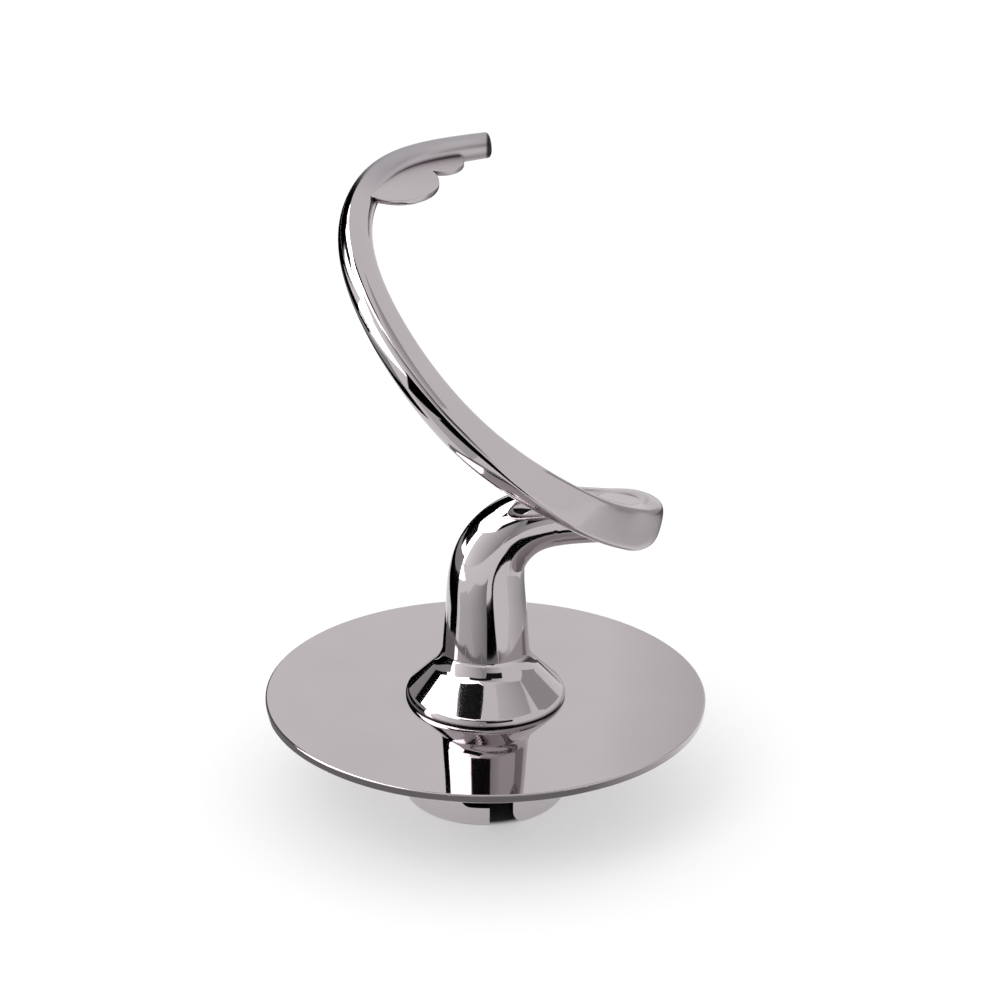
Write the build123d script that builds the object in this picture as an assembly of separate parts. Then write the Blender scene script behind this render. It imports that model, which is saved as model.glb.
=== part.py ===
from build123d import *
import math
import os

# Stand mixer dough hook: a spiral hook casting, a round dough shield and a bayonet drive hub.
# Millimetres. +Z is the drive axis and z = 0 is the hub's mouth, on which the hook stands upside down.

# Drive hub
hub_diameter = 33.6
hub_height = 20.8
hub_mouth_bevel = 0.6
bore_diameter = 12.8
bore_depth = 30.0
bore_chamfer = 0.6

# Bayonet slot for the drive shaft's cross pin, its place given as an angle from +X
slot_width = 5.0
slot_angle = -77.8
slot_lead = 3.0
pocket_floor = 4.2
pocket_height = 6.6
pocket_turn = 30.0
pocket_round = 2.4

# Dough shield
shield_diameter = 92.0
shield_thickness = 1.8
shield_edge_bevel = 0.3

# Spigot that joins the hook to the hub through the shield
spigot_diameter = 22.0
spigot_reach = 5.0
fit_clearance = 0.05

# Foot and neck of the hook, with heights above the shield
flange_diameter = 33.4
flange_rim = 1.2
flange_round = 2.2
flange_height = 8.6
foot_fillet = 2.5
neck_base_diameter = 18.4
neck_diameter = 16.0
neck_height = 26.5

# Limb that leaves the neck by a bend
bend_radius = 13.5
limb_offset = 2.0
limb_diameter = 12.4

# Tight turn into the spiral: its flat side comes up on the outside, and the half width, crown and belly
# of its section are shares of the limb's radius
turn_reach = 32.1
turn_radius = 6.2
turn_sweep = 122.0
turn_rise = 1.7
turn_start_roll = 100.0
turn_end_roll = 104.0
turn_start_width = 0.88
turn_end_width = 0.78
turn_start_crown = 0.94
turn_end_crown = 0.45
turn_start_belly = 0.9
turn_end_belly = 0.7

# Solid crook inside the turn, which leaves only a shallow valley between the limb and the arm
crook_radius = 5.2
crook_thickness = 5.0
crook_rise = 3.45
crook_shift = 1.8

# Spiral arm: at each angle clockwise from +X, shares of the spiral's radius and of the tip's height above
# the limb, and the roll of the flat side, which twists from the outside to the top and then inwards
spiral_radius = 30.5
full_section_angle = 90.0
arm_stations = {
    25: (1.0, 0.056, 93),
    45: (0.962, 0.135, 86),
    90: (0.924, 0.381, 27),
    135: (0.892, 0.678, -6),
    180: (0.861, 0.891, -35),
    225: (0.861, 0.974, -22),
    270: (0.861, 1.0, 0),
}
tip_height = 71.7
arm_half_width = 3.7
arm_crown = 2.05
arm_belly = 6.1
root_slimming = 0.315
tip_diameter = 5.3

# Shoulders of the section: the handles of its corners, round on the neck and squared on the arm
round_shoulder = 0.5523
square_shoulder = 0.9
rod_stations = 96

# Thin web with two lobes inside the curve of the tip, measured inwards from the arm at one angle
web_angle = 225
web_thickness = 1.2
web_tilt = 9.6
web_rise = -0.3
cusp_reach = 7.0
cusp_place = 3.1
large_lobe_reach = 13.7
large_lobe_place = -5.4
large_lobe_end = -13.0
small_lobe_reach = 9.5
small_lobe_place = 5.6
small_lobe_end = 10.8

shield_top = hub_height + shield_thickness
limb_height = neck_height + bend_radius
bore_radius = bore_diameter / 2
spiral_end_angle = max(arm_stations)
overcut = 1.0
upright = (Align.CENTER, Align.CENTER, Align.MIN)


def arm_point(angle):
    """Point on the arm's centre line at one of its stations."""
    reach, climb, roll = arm_stations[angle]
    turn = math.radians(-angle)
    radius = spiral_radius * reach
    return Vector(radius * math.cos(turn), radius * math.sin(turn), limb_height + tip_height * climb)


def section(place, heading, up, roll, half_width, crown, belly, shoulder):
    """D-shaped section across the rod: a low crown with two shoulders above a deep round belly."""
    outward = up.cross(heading).normalized()
    lean = math.radians(roll)
    across = outward * math.cos(lean) - heading.cross(outward) * math.sin(lean)
    plane = Plane(origin=place, x_dir=across, z_dir=heading)
    side = shoulder * half_width
    rise = shoulder * crown
    outline = Bezier((half_width, 0), (half_width, rise), (side, crown), (0, crown))
    outline += Bezier((0, crown), (-side, crown), (-half_width, rise), (-half_width, 0))
    outline += EllipticalCenterArc((0, 0), half_width, belly, 180, arc_size=180)
    return plane * make_face(outline)


def mix(one, two, share):
    return one + (two - one) * share


def blend(keys, at):
    """Sizes at one place on the rod, on a smooth curve through the sizes at its keys."""
    slopes = []
    for before, after in zip(keys[:1] + keys[:-1], keys[1:] + keys[-1:]):
        span = after[0] - before[0]
        slopes.append([(two - one) / span for one, two in zip(before[1], after[1])])
    part = max(i for i, key in enumerate(keys[:-1]) if i == 0 or key[0] <= at)
    start, first = keys[part]
    end, second = keys[part + 1]
    span = end - start
    share = (at - start) / span
    ease = share * share * (3 - 2 * share)
    leave = span * share * (1 - share) ** 2
    arrive = span * share * share * (share - 1)
    rows = zip(first, second, slopes[part], slopes[part + 1])
    return [one + (two - one) * ease + out * leave + into * arrive for one, two, out, into in rows]


def neck_radius(height):
    """Radius of the tapered neck at a height above the shield."""
    share = (height - flange_height) / (neck_height - flange_height)
    return mix(neck_base_diameter, neck_diameter, share) / 2


def rod_keys():
    """Keys of the rod: the centre, then the roll, half width, crown, belly and shoulder of its section."""
    limb = limb_diameter / 2
    tip = tip_diameter / 2
    quarter = (0, 0.25, 0.5, 0.75, 1)
    keys = []
    for share in (0, 0.25, 0.5, 0.75):
        height = mix(flange_rim, neck_height, share)
        radius = neck_radius(height)
        keys.append((Vector(0, 0, height), (turn_start_roll, radius, radius, radius, round_shoulder)))
    for share in quarter:
        lean = math.pi / 2 * share
        radius = mix(neck_diameter / 2, limb, share)
        along = bend_radius * (1 - math.cos(lean))
        height = neck_height + bend_radius * math.sin(lean)
        centre = Vector(along, limb_offset / 2 * share**3, height)
        keys.append((centre, (turn_start_roll, radius, radius, radius, round_shoulder)))
    for share in quarter:
        lean = math.radians(turn_sweep) * share
        centre = Vector(
            turn_reach - turn_radius * (1 - math.sin(lean)),
            limb_offset - turn_radius * (1 - math.cos(lean)),
            limb_height + turn_rise * share,
        )
        keys.append((centre, (
            mix(turn_start_roll, turn_end_roll, share),
            limb * mix(turn_start_width, turn_end_width, share),
            limb * mix(turn_start_crown, turn_end_crown, share),
            limb * mix(turn_start_belly, turn_end_belly, share),
            mix(round_shoulder, square_shoulder, share),
        )))
    for angle, (reach, climb, roll) in arm_stations.items():
        taper = max(angle - full_section_angle, 0) / (spiral_end_angle - full_section_angle)
        swell = max(1 - angle / full_section_angle, 0)
        keys.append((arm_point(angle), (
            roll,
            mix(mix(arm_half_width, tip, taper), limb * turn_end_width, swell),
            mix(arm_crown, tip, taper),
            mix(arm_belly, tip, taper) - arm_belly * root_slimming * swell**2,
            mix(square_shoulder, round_shoulder, taper),
        )))
    return keys


def make_rod():
    """The rod from inside the foot to its cut tip, lofted along one smooth centre line."""
    keys = rod_keys()
    path = Spline(*[centre for centre, sizes in keys])
    marks = [(path.param_at_point(centre), sizes) for centre, sizes in keys]
    faces = [section(keys[0][0], Vector(0, 0, 1), Vector(-1, 0, 0), *keys[0][1])]
    for station in range(1, rod_stations + 1):
        at = station / rod_stations
        place = path.position_at(at)
        up = Vector(-1, 0, 1) if place.X < bend_radius and place.Z < limb_height else Vector(0, 0, 1)
        faces.append(section(place, path.tangent_at(at), up, *blend(marks, at)))
    return loft(faces)


def make_crook():
    """Thick round plate inside the turn, moved towards its middle and leaning with its rise."""
    middle = math.radians(turn_sweep / 2)
    centre = Pos(
        turn_reach - turn_radius + crook_shift * math.sin(middle),
        limb_offset - turn_radius + crook_shift * math.cos(middle),
        limb_height + crook_rise,
    )
    lean = math.degrees(math.atan2(turn_rise, 2 * turn_radius))
    return centre * Rot(-lean, 0, 0) * Cylinder(crook_radius, crook_thickness)


def make_foot():
    """Spigot and conical foot flange, turned about the drive axis, with the seam clear of the rod's edges."""
    spigot = spigot_diameter / 2
    flange = flange_diameter / 2
    base = neck_base_diameter / 2
    slope = (flange_height - flange_rim) / (flange - base)
    cone_top = flange_height + slope * overcut
    outline = make_face(Polyline(
        (0, -shield_thickness - spigot_reach),
        (spigot, -shield_thickness - spigot_reach),
        (spigot, 0),
        (flange, 0),
        (flange, flange_rim),
        (base - overcut, cone_top),
        (0, cone_top),
        close=True,
    ))
    shoulder = outline.vertices().sort_by_distance((flange, flange_rim))[0]
    return Rot(0, 0, -turn_start_roll) * revolve(Plane.XZ * fillet(shoulder, flange_round), Axis.Z)


def make_web():
    """Thin plate with two rounded lobes, from the arm's centre line inwards."""
    centre = arm_point(web_angle) + Vector(0, 0, web_rise)
    inward = Vector(-centre.X, -centre.Y, 0)
    plane = Plane(origin=centre, x_dir=inward, z_dir=(0, 0, 1)).rotated((web_tilt, 0, 0))
    radius = spiral_radius * arm_stations[web_angle][0]
    start = (radius - math.sqrt(radius**2 - large_lobe_end**2), large_lobe_end)
    end = (radius - math.sqrt(radius**2 - small_lobe_end**2), small_lobe_end)
    cusp = (cusp_reach, cusp_place)
    outline = ThreePointArc(end, (0, 0), start)
    outline += ThreePointArc(start, (large_lobe_reach, large_lobe_place), cusp)
    outline += ThreePointArc(cusp, (small_lobe_reach, small_lobe_place), end)
    return extrude(plane * make_face(outline), web_thickness / 2, both=True)


def make_hook():
    """One casting: the foot and the rod with a fillet between, the crook, the web, and the bore's end."""
    body = make_foot() + make_rod()
    below = flange_height - foot_fillet
    above = flange_height + foot_fillet
    throat = body.edges().filter_by_position(Axis.Z, below, above)
    body = fillet(throat, foot_fillet) + make_crook() + make_web()
    bore = Pos(0, 0, -overcut) * Cylinder(bore_radius, bore_depth + overcut, align=upright)
    return Pos(0, 0, shield_top) * body - bore


def make_shield():
    disc = Cylinder(shield_diameter / 2, shield_thickness, align=upright)
    disc = chamfer(disc.edges().filter_by(GeomType.CIRCLE), shield_edge_bevel)
    hole = Cylinder(spigot_diameter / 2 + fit_clearance, shield_thickness + 2 * overcut, align=upright)
    return Pos(0, 0, hub_height) * (disc - Pos(0, 0, -overcut) * hole)


def make_slot():
    """Bayonet slot: a straight leg up from the mouth, then a pocket turned to one side."""
    half = slot_width / 2
    reach = hub_diameter
    top = pocket_floor + pocket_height
    outline = Polyline(
        (half + slot_lead, 0),
        (half + slot_lead, -overcut),
        (-half, -overcut),
        (-half, top),
        (half, top),
        (half, slot_lead),
    )
    outline += CenterArc((half + slot_lead, slot_lead), slot_lead, 180, 90)
    leg = extrude(Plane.XZ * make_face(outline), reach)
    pocket = make_face(Polyline(
        (bore_radius - overcut, pocket_floor),
        (reach, pocket_floor),
        (reach, top),
        (bore_radius - overcut, top),
        close=True,
    ))
    pocket = revolve(Plane.XZ * pocket, Axis.Z, pocket_turn)
    blind_end = pocket.faces().sort_by(Axis.Y)[0]
    corners = blind_end.edges().filter_by(Axis.X)
    pocket = fillet(corners, pocket_round)
    return Rot(0, 0, slot_angle + 90) * leg + Rot(0, 0, slot_angle - pocket_turn) * pocket


def make_hub():
    """Drive socket: a turned body with the shaft's bore, the spigot's seat and the bayonet slot."""
    body = Cylinder(hub_diameter / 2, hub_height, align=upright)
    body = chamfer(body.edges().sort_by(Axis.Z)[0], hub_mouth_bevel)
    body -= Pos(0, 0, -overcut) * Cylinder(bore_radius, hub_height + 2 * overcut, align=upright)
    body = chamfer(body.edges().filter_by(GeomType.CIRCLE).sort_by_distance((0, 0, 0))[0], bore_chamfer)
    seat_depth = spigot_reach + fit_clearance
    seat = Cylinder(spigot_diameter / 2 + fit_clearance, seat_depth + overcut, align=upright)
    body -= Pos(0, 0, hub_height - seat_depth) * seat
    return body - make_slot()


parts = {
    "hook": make_hook(),
    "dough_shield": make_shield(),
    "drive_hub": make_hub(),
}

os.makedirs("parts", exist_ok=True)
for name, part in parts.items():
    export_step(part, f"parts/{name}.step")
    print(name, round(part.volume), "mm3")
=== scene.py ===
import math

import bmesh
import bpy
import numpy as np
from mathutils import Matrix, Vector


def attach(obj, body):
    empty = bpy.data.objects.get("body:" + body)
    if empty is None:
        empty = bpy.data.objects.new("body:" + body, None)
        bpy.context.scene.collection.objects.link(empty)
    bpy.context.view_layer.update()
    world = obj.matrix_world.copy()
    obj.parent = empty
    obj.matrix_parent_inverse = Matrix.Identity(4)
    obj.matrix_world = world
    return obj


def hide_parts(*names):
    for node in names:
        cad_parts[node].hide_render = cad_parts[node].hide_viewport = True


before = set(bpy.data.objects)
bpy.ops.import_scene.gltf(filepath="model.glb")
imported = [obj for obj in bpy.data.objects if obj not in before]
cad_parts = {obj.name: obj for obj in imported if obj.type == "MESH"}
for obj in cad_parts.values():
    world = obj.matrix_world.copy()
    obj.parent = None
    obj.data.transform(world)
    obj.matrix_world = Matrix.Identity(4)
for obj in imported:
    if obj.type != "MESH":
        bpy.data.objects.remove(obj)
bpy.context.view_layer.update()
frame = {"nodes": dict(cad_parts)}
scene = bpy.context.scene
mm = 0.001
print("frame loaded:", ", ".join(frame["nodes"]))


class Socket:
    # one shader socket: operators make math nodes, and node makes any other kind
    def __init__(self, tree, out):
        self.tree, self.out = tree, out

    def node(self, kind, settings, *values, pick=0):
        # each value is an input with the socket or the plain value that goes into it
        made = self.tree.nodes.new(kind)
        for name, value in settings.items():
            setattr(made, name, value)
        for at, value in values:
            if isinstance(value, Socket):
                self.tree.links.new(value.out, made.inputs[at])
            else:
                made.inputs[at].default_value = value
        return Socket(self.tree, made.outputs[pick])

    def math(self, operation, one, two):
        return self.node("ShaderNodeMath", {"operation": operation}, (0, one), (1, two))

    def __add__(self, other):
        return self.math("ADD", self, other)

    def __radd__(self, other):
        return self.math("ADD", other, self)

    def __sub__(self, other):
        return self.math("SUBTRACT", self, other)

    def __rsub__(self, other):
        return self.math("SUBTRACT", other, self)

    def __mul__(self, other):
        return self.math("MULTIPLY", self, other)

    def __rmul__(self, other):
        return self.math("MULTIPLY", other, self)

    def noise(self, scale, detail=2.0):
        return self.node("ShaderNodeTexNoise", {}, ("Vector", self), ("Scale", scale), ("Detail", detail))

    def stretch(self, scale):
        return self.node("ShaderNodeVectorMath", {"operation": "MULTIPLY"}, (0, self), (1, scale))

    def axis(self, pick):
        return self.node("ShaderNodeSeparateXYZ", {}, (0, self), pick=pick)

    def fromAxis(self):
        # distance of a place from the drive axis
        level = self.stretch((1, 1, 0))
        return self.node("ShaderNodeVectorMath", {"operation": "LENGTH"}, (0, level), pick=1)

    def openness(self, reach):
        # 1 on open faces, falling towards 0 where the piece's own faces stand close by
        settings = {"only_local": True, "samples": 8}
        return self.node("ShaderNodeAmbientOcclusion", settings, ("Distance", reach), pick=1)

    def fade(self, low, high):
        return self.node("ShaderNodeMapRange", {"interpolation_type": "SMOOTHSTEP"},
                         ("Value", self), ("From Min", low), ("From Max", high))

    def mixed(self, one, two):
        # the first colour where this value is 0, the second where it is 1
        return self.node("ShaderNodeMix", {"data_type": "RGBA"}, (0, self), (6, one), (7, two), pick=2)

    def bump(self, strength, distance):
        return self.node("ShaderNodeBump", {},
                         ("Strength", strength), ("Distance", distance), ("Height", self))


def newMaterial(name, settings):
    # returns the material, its shader and the object coordinates to draw with
    material = bpy.data.materials.new(name)
    material.use_nodes = True
    tree = material.node_tree
    shader = tree.nodes["Principled BSDF"]
    for socket, value in settings.items():
        shader.inputs[socket].default_value = value
    coords = tree.nodes.new("ShaderNodeTexCoord")
    return material, shader, Socket(tree, coords.outputs["Object"])


def feed(shader, name, value):
    value.tree.links.new(value.out, shader.inputs[name])


def newPiece(name, bm, material):
    mesh = bpy.data.meshes.new(name)
    bm.to_mesh(mesh)
    bm.free()
    piece = bpy.data.objects.new(name, mesh)
    scene.collection.objects.link(piece)
    mesh.materials.append(material)
    return piece


def smoothShade(bm, broad=20, crisp=32):
    # smooth quads under the broad area, in square millimetres, and sharp edges over the crisp angle
    for face in bm.faces:
        face.smooth = len(face.verts) == 4 and face.calc_area() < broad * mm * mm
    for edge in bm.edges:
        edge.smooth = len(edge.link_faces) == 2 and edge.calc_face_angle(0) < math.radians(crisp)


def spinProfile(bm, points, rounds, steps):
    # a profile of (radius, height) points, its corners rounded, spun once about the drive axis
    verts = [bm.verts.new((radius * mm, 0, height * mm)) for radius, height in points]
    for one, two in zip(verts, verts[1:]):
        bm.edges.new((one, two))
    for at, (offset, segments) in rounds.items():
        bmesh.ops.bevel(bm, geom=[verts[at]], offset=offset * mm, offset_type="OFFSET", affect="VERTICES",
                        segments=segments, profile=0.5, material=-1)
    bmesh.ops.spin(bm, geom=bm.verts[:] + bm.edges[:], cent=(0, 0, 0), axis=(0, 0, 1),
                   angle=2 * math.pi, steps=steps, use_merge=True)
    bmesh.ops.remove_doubles(bm, verts=bm.verts[:], dist=1e-6)
    bmesh.ops.recalc_face_normals(bm, faces=bm.faces[:])


# steel of the hook: bright polish, a soft waviness of the casting and fine rubbing marks; places in metres
steel = {
    "colour": (0.5, 0.455, 0.475, 1), "dull": (0.44, 0.41, 0.425, 1), "clouds": 45, "rough": 0.03,
    "waves": 90, "waveRough": 0.02, "waveBump": 0.05, "waveDepth": 0.001,
    "rub": (300, 300, 2500), "rubDetail": 3, "rubRough": 0.02,
    # satin end of the arm: where it starts along the height and the depth, and its tone further out
    "satin": (0.36, 0.34, 0.36, 1), "satinHeight": (0.118, 0.126), "satinDepth": (0.002, 0.014),
    "satinRadius": (0.0228, 0.0245), "satinRough": 0.32,
    # the turn at the right is satin too, with painted shade in its hollow
    "turn": (0.018, 0.026), "turnRough": 0.22, "hollowShade": (0.2, 0.19, 0.2, 1), "hollowReach": 0.006,
    "hollowFade": (0.95, 0.4),
    # painted shade: in creases, on the end face of the tip and in the seam under the flange
    "creaseShade": (0.1, 0.09, 0.1, 1), "creaseReach": 0.0016, "creaseFade": (0.9, 0.45),
    "cut": (0.035, 0.033, 0.036, 1), "cutFrom": (-0.0009, -0.0003),
    "seam": (0.01, 0.01, 0.012, 1), "seamHeight": (0.0231, 0.0228),
}
hookSteel, shader, place = newMaterial("polished_steel", {"Metallic": 1})
across, depth, height = (place.axis(pick) for pick in range(3))
wave = place.noise(steel["waves"], 0)
rub = place.stretch(steel["rub"]).noise(1, steel["rubDetail"])
satin = height.fade(*steel["satinHeight"]) * depth.fade(*steel["satinDepth"])
turned = across.fade(*steel["turn"])
outer = satin * place.fromAxis().fade(*steel["satinRadius"])
# painted shade in the turn's hollow, darkest where the hook's own faces close round it
hollowShade = turned * place.openness(steel["hollowReach"]).fade(*steel["hollowFade"])
# painted shade in the creases, where the hook's own faces stand close
creaseShade = place.openness(steel["creaseReach"]).fade(*steel["creaseFade"])
# painted shade on the end face of the tip
cut = satin * across.fade(*steel["cutFrom"])
# painted shade along the seam where the flange meets the shield
seam = height.fade(*steel["seamHeight"])
tone = place.noise(steel["clouds"]).mixed(steel["colour"], steel["dull"])
tone = outer.mixed(tone, steel["satin"])
tone = hollowShade.mixed(tone, steel["hollowShade"])
tone = creaseShade.mixed(tone, steel["creaseShade"])
tone = cut.mixed(tone, steel["cut"])
feed(shader, "Base Color", seam.mixed(tone, steel["seam"]))
feed(shader, "Roughness", steel["rough"] + wave * steel["waveRough"] + rub * steel["rubRough"]
     + satin * steel["satinRough"] + turned * steel["turnRough"])
feed(shader, "Normal", wave.bump(steel["waveBump"], steel["waveDepth"]))

# sheet of the shield: the same steel mirror polished, with faint rings from the turning wheel
sheet = {"rings": 2500, "ringDetail": 3.0, "smudges": 60,
         "rough": 0.015, "ringRough": 0.015, "smudgeRough": 0.015}
sheetSteel, shader, place = newMaterial("sheet_steel", {"Metallic": 1})
rings = place.node("ShaderNodeTexNoise", {"noise_dimensions": "1D"},
                   ("W", place.fromAxis() * sheet["rings"]), ("Detail", sheet["ringDetail"]))
smudge = place.noise(sheet["smudges"])
feed(shader, "Base Color", smudge.mixed(steel["colour"], steel["dull"]))
feed(shader, "Roughness", sheet["rough"] + rings * sheet["ringRough"] + smudge * sheet["smudgeRough"])

# steel of the hub: fine turned rings on its skin, painted lighter than the hook's steel to offset the shade
# under the shield, and dull with painted shade inside the bore and the slot
# the skin's bright and dull tones are painted light: lighter than the hook's steel to make up for the shade
# under the shield
hub = {"bright": (0.68, 0.64, 0.66, 1), "dull": (0.6, 0.57, 0.59, 1), "inside": (0.012, 0.011, 0.013, 1),
       "skin": (0.0158, 0.0166), "lathe": (20, 20, 3000),
       "insideRough": 0.4, "polish": 0.3, "latheRough": 0.06}
hubSteel, shader, place = newMaterial("hub_steel", {"Metallic": 1})
lathe = place.stretch(hub["lathe"]).noise(1)
# painted shade inside the bore and the slot, where this skin mask falls to 0
skin = place.fromAxis().fade(*hub["skin"])
feed(shader, "Base Color", skin.mixed(hub["inside"], lathe.mixed(hub["bright"], hub["dull"])))
feed(shader, "Roughness", hub["insideRough"] - skin * hub["polish"] + lathe * hub["latheRough"])
print("steels made")

# the hook, in millimetres: foot spun from its profile, then the rod drawn out ring by ring along its line
hook = {
    "shieldTop": 22.6, "boreRadius": 6.4, "boreEnd": 30.0, "boreTip": 0.02,
    "spigotRadius": 11.0, "spigotBottom": 15.8,
    "flangeRadius": 16.7, "rim": 1.2, "coneTop": 8.6, "neckBase": 9.2, "neckRadius": 8.0, "neckTop": 26.5,
    # the foot ends at this share of the neck, the rod starts a step above; rounds are (offset, segments)
    "footShare": 0.35, "step": 1.0, "seamRound": (0.2, 3), "rimRound": (0.92, 10), "throatRound": (2.4, 14),
    "bend": 13.5, "offset": 2.0, "limb": 6.2, "round": 0.5523, "square": 0.9, "around": 96, "along": 320,
    # the turn's roll and sizes at its start and its end, the sizes as shares of the limb's
    "turnReach": 32.1, "turn": 6.2, "sweep": 122, "turnRise": 1.7, "turnRoll": (100, 104),
    "turnWidth": (0.88, 0.78), "turnCrown": (0.94, 0.45), "turnBelly": (0.9, 0.7),
    "spiral": 30.5, "tipHeight": 71.7, "armWidth": 3.7, "armCrown": 2.05, "armBelly": 6.1,
    "rootSlim": 0.315, "tip": 2.65, "tipRound": (0.8, 5),
    # at each angle of the arm: shares of the spiral's radius and the tip's height, and the flat's roll
    "arm": {25: (1.0, 0.056, 93), 45: (0.962, 0.135, 86), 90: (0.924, 0.381, 27), 135: (0.892, 0.678, -6),
            180: (0.861, 0.891, -35), 225: (0.861, 0.974, -22), 270: (0.861, 1.0, 0)},
}
top = hook["shieldTop"]
limbTop = hook["neckTop"] + hook["bend"]
quarters = (0, 0.25, 0.5, 0.75, 1)


def mix(one, two, share):
    return one + (two - one) * share


def armPoint(angle):
    reach, climb, roll = hook["arm"][angle]
    turn = math.radians(-angle)
    radius = hook["spiral"] * reach
    return [radius * math.cos(turn), radius * math.sin(turn), limbTop + hook["tipHeight"] * climb]


# stations of the rod over the shield: the centre, then the roll, half width, crown, belly and shoulder
stations = []
for share in quarters[:-1]:
    height = mix(hook["rim"], hook["neckTop"], share)
    climb = (height - hook["coneTop"]) / (hook["neckTop"] - hook["coneTop"])
    radius = mix(hook["neckBase"], hook["neckRadius"], climb)
    stations.append([0, 0, height, hook["turnRoll"][0], radius, radius, radius, hook["round"]])
for share in quarters:
    lean = math.pi / 2 * share
    radius = mix(hook["neckRadius"], hook["limb"], share)
    stations.append([hook["bend"] * (1 - math.cos(lean)), hook["offset"] / 2 * share ** 3,
                     hook["neckTop"] + hook["bend"] * math.sin(lean),
                     hook["turnRoll"][0], radius, radius, radius, hook["round"]])
for share in quarters:
    lean = math.radians(hook["sweep"]) * share
    width, crown, belly = (hook["limb"] * mix(*hook[name], share)
                           for name in ("turnWidth", "turnCrown", "turnBelly"))
    stations.append([hook["turnReach"] - hook["turn"] * (1 - math.sin(lean)),
                     hook["offset"] - hook["turn"] * (1 - math.cos(lean)),
                     limbTop + hook["turnRise"] * share, mix(*hook["turnRoll"], share),
                     width, crown, belly, mix(hook["round"], hook["square"], share)])
for angle, (reach, climb, roll) in hook["arm"].items():
    taper, swell = max(angle - 90, 0) / 180, max(1 - angle / 90, 0)
    slim = mix(hook["armWidth"], hook["tip"], taper)
    width = mix(slim, hook["limb"] * hook["turnWidth"][1], swell)
    belly = mix(hook["armBelly"], hook["tip"], taper) - hook["armBelly"] * hook["rootSlim"] * swell ** 2
    stations.append(armPoint(angle) + [roll, width, mix(hook["armCrown"], hook["tip"], taper), belly,
                                       mix(hook["square"], hook["round"], taper)])

# smooth line through the stations, its bending at each of them, and how fast the section changes there
stations = np.array(stations)
centres, sizes = stations[:, :3], stations[:, 3:]
gaps = np.linalg.norm(np.diff(centres, axis=0), axis=1)
marks = np.concatenate(([0], np.cumsum(gaps)))
last = len(marks) - 1
system, pull = np.eye(len(marks)), np.zeros_like(centres)
for i in range(1, last):
    system[i, i - 1:i + 2] = gaps[i - 1], 2 * (gaps[i - 1] + gaps[i]), gaps[i]
    pull[i] = 6 * ((centres[i + 1] - centres[i]) / gaps[i] - (centres[i] - centres[i - 1]) / gaps[i - 1])
bending = np.linalg.solve(system, pull)
slopes = np.zeros_like(sizes)
for i in range(len(marks)):
    before, after = max(i - 1, 0), min(i + 1, last)
    slopes[i] = (sizes[after] - sizes[before]) / (marks[after] - marks[before])


def rodAt(along):
    # centre and heading of the rod at one length, and the sizes of its section
    i = min(int(np.searchsorted(marks, along, "right")) - 1, last - 1)
    gap = gaps[i]
    back, on = marks[i + 1] - along, along - marks[i]
    centre = ((bending[i] * back ** 3 + bending[i + 1] * on ** 3) / (6 * gap)
              + (centres[i] / gap - bending[i] * gap / 6) * back
              + (centres[i + 1] / gap - bending[i + 1] * gap / 6) * on)
    heading = ((bending[i + 1] * on ** 2 - bending[i] * back ** 2) / (2 * gap)
               + (centres[i + 1] - centres[i]) / gap - (bending[i + 1] - bending[i]) * gap / 6)
    t = on / gap
    size = (sizes[i] + (sizes[i + 1] - sizes[i]) * t * t * (3 - 2 * t)
            + slopes[i] * gap * t * (1 - t) ** 2 + slopes[i + 1] * gap * t * t * (t - 1))
    return Vector(centre), Vector(heading).normalized(), size


def sectionPoint(around, width, crown, belly, shoulder):
    # the D-section from 0 to 1: two shoulder curves over the crown, then the belly's half ellipse
    if around >= 0.5:
        return width * math.cos(2 * math.pi * around), belly * math.sin(2 * math.pi * around)
    side = 1 if around < 0.25 else -1
    t = 4 * around if side > 0 else 2 - 4 * around
    handle = 3 * (1 - t) * t
    return (side * width * ((1 - t) ** 3 + handle * (1 - t) + handle * t * shoulder),
            crown * (handle * (1 - t) * shoulder + handle * t + t ** 3))


def placeRing(verts, layer, along):
    # moves a ring of the rod to its section at one place on the line
    centre, heading, (roll, width, crown, belly, shoulder) = rodAt(along)
    up = Vector((-1, 0, 1)) if centre.x < hook["bend"] and centre.z < limbTop else Vector((0, 0, 1))
    outward = Matrix.Rotation(math.radians(-roll), 3, heading) @ up.cross(heading).normalized()
    over = heading.cross(outward)
    for vert in verts:
        a, b = sectionPoint(vert[layer], width, crown, belly, shoulder)
        vert.co = (centre + Vector((0, 0, top)) + outward * a + over * b) * mm


def onlyVerts(geom):
    return [g for g in geom if isinstance(g, bmesh.types.BMVert)]


def addPlate(bm, plate, look, spot):
    # thickens a flat outline, in millimetres, breaks its rims and puts it at its spot in the hook's mesh
    half = look["half"]
    bmesh.ops.translate(plate, verts=plate.verts[:], vec=(0, 0, -half))
    lifted = bmesh.ops.extrude_face_region(plate, geom=plate.faces[:], use_keep_orig=True)["geom"]
    bmesh.ops.translate(plate, verts=onlyVerts(lifted), vec=(0, 0, 2 * half))
    bmesh.ops.recalc_face_normals(plate, faces=plate.faces[:])
    rims = [e for e in plate.edges if abs(e.verts[0].co.z - e.verts[1].co.z) < 1e-6]
    bmesh.ops.bevel(plate, geom=rims, offset=look["bevel"], offset_type="OFFSET", affect="EDGES",
                    segments=look["segments"], profile=0.5, material=-1)
    bmesh.ops.transform(plate, matrix=Matrix.Scale(mm, 4) @ spot, verts=plate.verts[:])
    mesh = bpy.data.meshes.new("plate")
    plate.to_mesh(mesh)
    plate.free()
    bm.from_mesh(mesh)
    bpy.data.meshes.remove(mesh)


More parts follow.
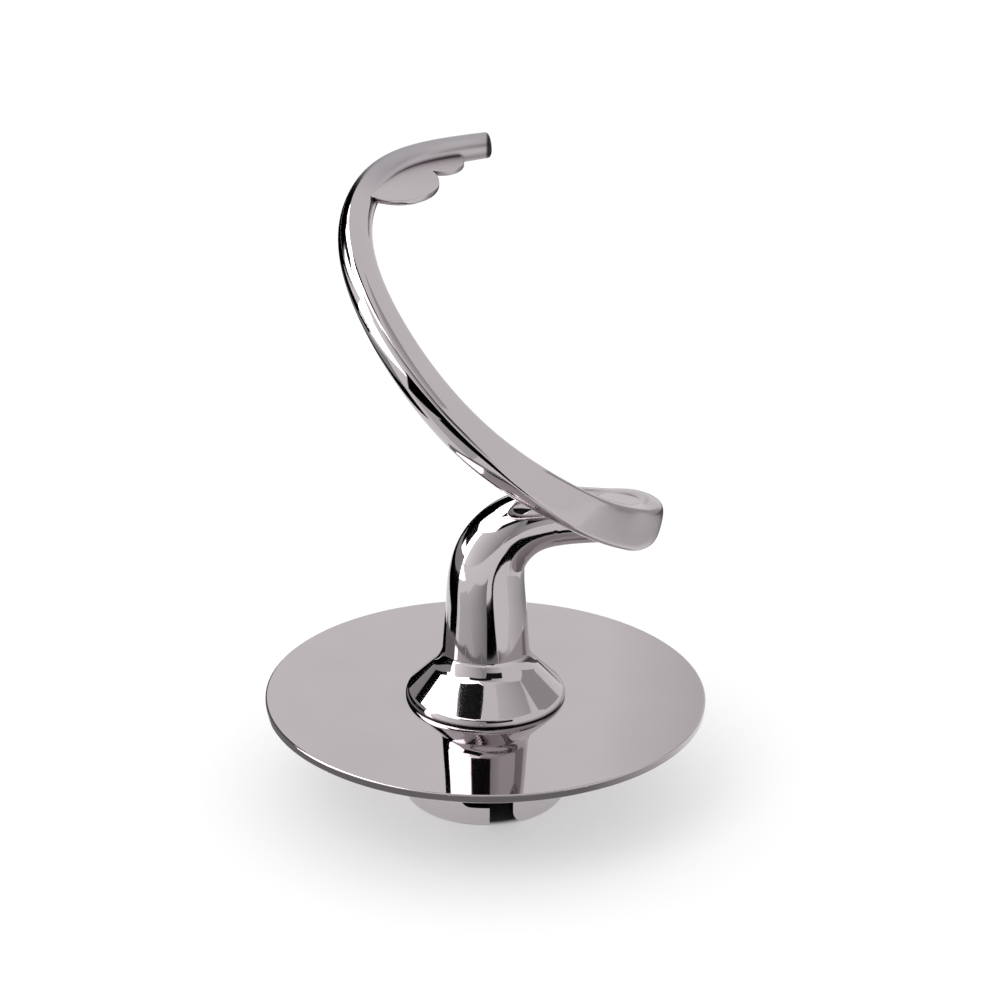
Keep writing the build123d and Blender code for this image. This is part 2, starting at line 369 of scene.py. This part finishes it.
bm = bmesh.new()
footTop = mix(hook["coneTop"], hook["neckTop"], hook["footShare"])
profile = [
    (hook["boreTip"], hook["boreEnd"]), (hook["boreRadius"], hook["boreEnd"]),
    (hook["boreRadius"], hook["spigotBottom"]), (hook["spigotRadius"], hook["spigotBottom"]),
    (hook["spigotRadius"], top), (hook["flangeRadius"], top),
    (hook["flangeRadius"], top + hook["rim"]), (hook["neckBase"], top + hook["coneTop"]),
    (mix(hook["neckBase"], hook["neckRadius"], hook["footShare"]), top + footTop),
]
rounds = {5: hook["seamRound"], 6: hook["rimRound"], 7: hook["throatRound"]}
spinProfile(bm, profile, rounds, hook["around"])

# each vert keeps its share of the way round, so that every ring drawn from it knows its section
layer = bm.verts.layers.float.new("around")
for vert in bm.verts:
    angle = math.atan2(-vert.co.x, vert.co.y) + math.radians(hook["turnRoll"][0])
    vert[layer] = angle / (2 * math.pi) % 1
nearTop = (top + footTop - 0.01) * mm
ring = [e for e in bm.edges if e.is_boundary and min(v.co.z for v in e.verts) > nearTop]
firstRing = footTop + hook["step"] - hook["rim"]
for along in np.linspace(firstRing, marks[-1], hook["along"]):
    made = bmesh.ops.extrude_edge_only(bm, edges=ring)["geom"]
    ring = [g for g in made if isinstance(g, bmesh.types.BMEdge) and g.is_boundary]
    placeRing(onlyVerts(made), layer, float(along))
cap = bmesh.ops.contextual_create(bm, geom=ring)["faces"]
offset, segments = hook["tipRound"]
bmesh.ops.bevel(bm, geom=[e for f in cap for e in f.edges], offset=offset * mm, offset_type="OFFSET",
                affect="EDGES", segments=segments, profile=0.5, material=-1)

# the crook: a thick round plate that closes the inside of the turn
crook = {"radius": 5.2, "half": 2.5, "rise": 3.45, "shift": 1.8, "around": 64, "bevel": 0.25, "segments": 3}
plate = bmesh.new()
bmesh.ops.create_circle(plate, cap_ends=True, radius=crook["radius"], segments=crook["around"])
middle = math.radians(hook["sweep"] / 2)
lean = math.atan2(hook["turnRise"], 2 * hook["turn"])
spot = Matrix.Translation((hook["turnReach"] - hook["turn"] + crook["shift"] * math.sin(middle),
                           hook["offset"] - hook["turn"] + crook["shift"] * math.cos(middle),
                           limbTop + crook["rise"] + top))
addPlate(bm, plate, crook, spot @ Matrix.Rotation(-lean, 4, "X"))

# the web: an outline of three arcs, with its lobes inwards from the arm at one angle
web = {"angle": 225, "tilt": 9.6, "rise": -0.3, "half": 0.6, "bevel": 0.2, "segments": 2,
       "cusp": (7.0, 3.1), "large": (13.7, -5.4), "largeEnd": -13.0, "largeSteps": 24,
       "small": (9.5, 5.6), "smallEnd": 10.8, "smallSteps": 18, "armSteps": 12}


def arc(bm, start, middle, end, steps):
    # arc of edges through three flat points, spun from a single vert
    a, b, c = Vector(start), Vector(middle), Vector(end)
    left, right = b - a, c - a
    turn = 2 * left.cross(right)
    centre = a + Vector((right.y * left.length_squared - left.y * right.length_squared,
                         left.x * right.length_squared - right.x * left.length_squared)) / turn
    sweep = (c - centre).angle_signed(a - centre)
    if (b - centre).angle_signed(a - centre) * sweep < 0:
        sweep -= math.copysign(2 * math.pi, sweep)
    bmesh.ops.spin(bm, geom=[bm.verts.new((a.x, a.y, 0))], cent=(centre.x, centre.y, 0), axis=(0, 0, 1),
                   angle=sweep, steps=steps)


def onArm(along):
    # flat point on the arm's own circle, at a distance along it from the web's middle
    radius = hook["spiral"] * hook["arm"][web["angle"]][0]
    return radius - math.sqrt(radius ** 2 - along ** 2), along


plate = bmesh.new()
start, end = onArm(web["largeEnd"]), onArm(web["smallEnd"])
arc(plate, end, (0, 0), start, web["armSteps"])
arc(plate, start, web["large"], web["cusp"], web["largeSteps"])
arc(plate, web["cusp"], web["small"], end, web["smallSteps"])
bmesh.ops.remove_doubles(plate, verts=plate.verts[:], dist=1e-3)
bmesh.ops.contextual_create(plate, geom=plate.edges[:])
x, y, z = armPoint(web["angle"])
inward = Vector((-x, -y, 0)).normalized()
sideways = Vector((0, 0, 1)).cross(inward)
axes = Matrix((inward, sideways, (0, 0, 1))).transposed().to_4x4()
tilt = Matrix.Rotation(math.radians(web["tilt"]), 4, "X")
addPlate(bm, plate, web, Matrix.Translation((x, y, z + web["rise"] + top)) @ tilt @ axes)
bmesh.ops.recalc_face_normals(bm, faces=bm.faces[:])
smoothShade(bm)
hookPiece = newPiece("hook_casting", bm, hookSteel)
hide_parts("hook")
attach(hookPiece, "root")
print("hook drawn:", len(hookPiece.data.polygons), "faces")

# the shield: a flat sheet with its edges broken
shield = {"hole": 11.05, "radius": 46.0, "bottom": 20.8, "round": (0.3, 4), "steps": 192}
bm = bmesh.new()
profile = [(shield["hole"], shield["bottom"]), (shield["radius"], shield["bottom"]),
           (shield["radius"], top), (shield["hole"], top)]
spinProfile(bm, profile, {1: shield["round"], 2: shield["round"]}, shield["steps"])
bmesh.ops.bridge_loops(bm, edges=[e for e in bm.edges if e.is_boundary])
bmesh.ops.recalc_face_normals(bm, faces=bm.faces[:])
smoothShade(bm)
shieldPiece = newPiece("shield_sheet", bm, sheetSteel)
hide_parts("dough_shield")
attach(shieldPiece, "root")
print("shield spun")

# the hub keeps its CAD mesh and gets its own steel
hubMesh = frame["nodes"]["drive_hub"].data
hubMesh.materials.clear()
hubMesh.materials.append(hubSteel)

# stage: a pale floor with a painted shadow under the hub, and a white room
ground = {"size": 4, "cells": 4, "paper": 3, "pale": (0.62, 0.62, 0.62, 1), "paler": (0.64, 0.64, 0.64, 1),
          "underHub": (0.0145, 0.0168), "dark": (0.1, 0.1, 0.1, 1)}
black, white = (0, 0, 0, 1), (1, 1, 1, 1)
floorPaper, shader, place = newMaterial("floor", {"Roughness": 0.9, "Specular IOR Level": 0.1,
                                                  "Emission Strength": 0.36})
outside = place.fromAxis().fade(*ground["underHub"])
paper = place.noise(ground["paper"]).mixed(ground["pale"], ground["paler"])
# painted shadow: the floor's colour is dark, and its glow off, under the hub
feed(shader, "Base Color", outside.mixed(ground["dark"], paper))
feed(shader, "Emission Color", outside.mixed(black, white))
bm = bmesh.new()
bmesh.ops.create_grid(bm, x_segments=ground["cells"], y_segments=ground["cells"], size=ground["size"])
floor = newPiece("floor", bm, floorPaper)

world = bpy.data.worlds.new("room")
world.use_nodes = True
room = world.node_tree.nodes["Background"]
room.inputs["Color"].default_value = white
room.inputs["Strength"].default_value = 1.0
scene.world = world


def card(name, spot, width, height, shades, strength=1):
    # a board that only reflections see, and from its face alone, shaded from its left to its right side
    material = bpy.data.materials.new(name)
    material.use_nodes = True
    tree = material.node_tree
    tree.nodes.clear()
    across = Socket(tree, tree.nodes.new("ShaderNodeTexCoord").outputs["UV"]).axis(0)
    left, right = ((shade, shade, shade, 1) for shade in shades)
    glow = across.node("ShaderNodeEmission", {}, (0, across.mixed(left, right)), (1, strength))
    clear = across.node("ShaderNodeBsdfTransparent", {})
    back = Socket(tree, tree.nodes.new("ShaderNodeNewGeometry").outputs["Backfacing"])
    both = across.node("ShaderNodeMixShader", {}, (0, back), (1, glow), (2, clear))
    tree.links.new(both.out, tree.nodes.new("ShaderNodeOutputMaterial").inputs[0])
    bm = bmesh.new()
    bm.loops.layers.uv.new("across")
    bmesh.ops.create_grid(bm, x_segments=1, y_segments=1, size=0.5, calc_uvs=True)
    bmesh.ops.transform(bm, matrix=spot @ Matrix.Diagonal((width, height, 1, 1)), verts=bm.verts[:])
    board = newPiece(name, bm, material)
    board.visible_camera = board.visible_diffuse = board.visible_shadow = False


def standing(azimuth, elevation, distance, middle=0.07):
    # a spot facing the object's middle; azimuth 0 is the camera's side and 90 the right
    turn, lift = math.radians(azimuth), math.radians(elevation)
    away = Vector((math.sin(turn) * math.cos(lift), -math.cos(turn) * math.cos(lift), math.sin(lift)))
    facing = away.to_track_quat("-Z", "Y").to_matrix().to_4x4()
    return Matrix.Translation(away * distance + Vector((0, 0, middle))) @ facing


def beside(x, y, z):
    # an upright spot to the left or right of the object, facing it
    return Matrix.Translation((x, y, z)) @ Matrix.Rotation(math.radians(math.copysign(90, -x)), 4, "Y")


def lying(x, y, turn=0, z=0.001):
    # a level spot, on the floor or held over it
    return Matrix.Translation((x, y, z)) @ Matrix.Rotation(math.radians(turn), 4, "Z")


# each board: its spot, width, height, the shades of its two sides, and a strength where it glares
glare = 6
boards = {
    "softbox_left": (standing(-99, 20, 1.5), 1.05, 1.5, (1, 1), glare),
    "softbox_upper_left": (standing(-97, 52, 1.5), 1.66, 0.5, (1, 1), glare),
    "softbox_floor_left": (lying(-0.6, 0.0), 0.7, 0.24, (1, 1), glare),
    "flag_back_left": (standing(-143, 15, 1.45), 1.15, 2.0, (0, 0)),
    "flag_left_low": (standing(-110, 17, 1.3), 0.5, 0.4, (0, 0)),
    "flag_front_left": (standing(-42, 17, 1.6), 2.4, 1.6, (0.4, 1.4)),
    "flag_front_right": (standing(17, 17, 1.6), 1.3, 1.6, (0.95, 0.4)),
    "flag_camera_right": (standing(21, 24, 1.4), 0.9, 0.4, (0.01, 0.01)),
    "flag_camera_high": (standing(-12, 35.5, 1.4), 1.15, 0.2, (0.01, 0.01)),
    "softbox_front_left": (standing(-60, 35.5, 1.5), 0.8, 0.26, (1, 1), glare),
    "flag_over_camera": (standing(-46, 61, 1.4), 0.92, 0.42, (0.01, 0.01)),
    "flag_back_right": (standing(173.5, 23.5, 1.4), 0.16, 0.6, (1.0, 0.4)),
    "panel_left": (beside(-0.1, 0.071, 0.018), 0.036, 0.158, (0, 0)),
    "panel_left_high": (beside(-0.1, 0.071, 0.049), 0.026, 0.158, (0.4, 0.4)),
    "panel_right": (beside(0.115, 0.045, 0.1), 0.09, 0.09, (0.5, 0.5)),
    "flag_upper_right": (standing(66, 54, 1.5), 1.26, 0.53, (0.5, 0.9)),
    "board_left": (lying(-0.1083, -0.1244, 42, 0.06), 0.18, 0.1, (0, 0)),
    "board_front": (lying(-0.019, -0.0865, 0, 0.06), 0.062, 0.077, (0, 0)),
    "cloth_back_left": (lying(-0.2, 0.375, 28), 0.5, 0.5, (0, 0)),
    "cloth_back_left_far": (lying(-0.6, 0.8, 37), 0.9, 0.8, (0, 0)),
    "cloth_right": (lying(0.32, -0.005, 90), 0.11, 0.46, (0.95, 0.62)),
    "cloth_back_right": (lying(0.29, 0.0875, 90), 0.075, 0.5, (0.62, 0.08)),
    "cloth_back_right_far": (lying(0.29, 0.29, 90), 0.33, 0.5, (0.08, 0.2)),
    "cloth_left": (lying(-0.105, -0.066), 0.1, 0.072, (0.85, 0.65)),
    "cloth_front": (lying(0.028, -0.128), 0.045, 0.05, (0, 0)),
    "cloth_front_side": (lying(0.05, -0.125), 0.012, 0.16, (0, 0)),
    "cloth_front_left": (lying(-0.065, -0.153), 0.142, 0.102, (0.85, 0.32)),
}
for name, board in boards.items():
    card(name, *board)

# a low ring of boards close under the shield darkens its rim, and fades out at the right
rim = {"elevation": -46, "distance": 0.0708, "width": 0.036, "height": 0.007, "dark": 0.25,
       "azimuths": (-110, -70, -30, 10, 50)}
for azimuth in rim["azimuths"]:
    far = 1 if azimuth == rim["azimuths"][-1] else rim["dark"]
    spot = standing(azimuth, rim["elevation"], rim["distance"])
    card("rim_board", spot, rim["width"], rim["height"], (far, rim["dark"]))

lamp = {"energy": 4, "size": 0.8, "from": (-0.6, -0.8, 1.2), "at": (0, 0, 0.06)}
light = bpy.data.lights.new("key", "AREA")
light.energy, light.size = lamp["energy"], lamp["size"]
key = bpy.data.objects.new("key", light)
key.location = lamp["from"]
key.rotation_euler = (Vector(lamp["at"]) - key.location).to_track_quat("-Z", "Y").to_euler()
scene.collection.objects.link(key)
print("stage set")

# camera at the photo's viewing angle
view = {"lens": 142.08, "sensor": 36, "clip": 0.01,
        "from": (0.00167, -0.73393, 0.38609), "tilt": 66.55, "roll": 0.45}
camera = bpy.data.objects.new("camera", bpy.data.cameras.new("camera"))
camera.data.lens, camera.data.sensor_width = view["lens"], view["sensor"]
camera.data.clip_start = view["clip"]
camera.matrix_world = (Matrix.Translation(view["from"])
                       @ Matrix.Rotation(math.radians(view["tilt"]), 4, "X")
                       @ Matrix.Rotation(math.radians(view["roll"]), 4, "Z"))
scene.collection.objects.link(camera)
scene.camera = camera
scene.view_settings.view_transform = "Standard"
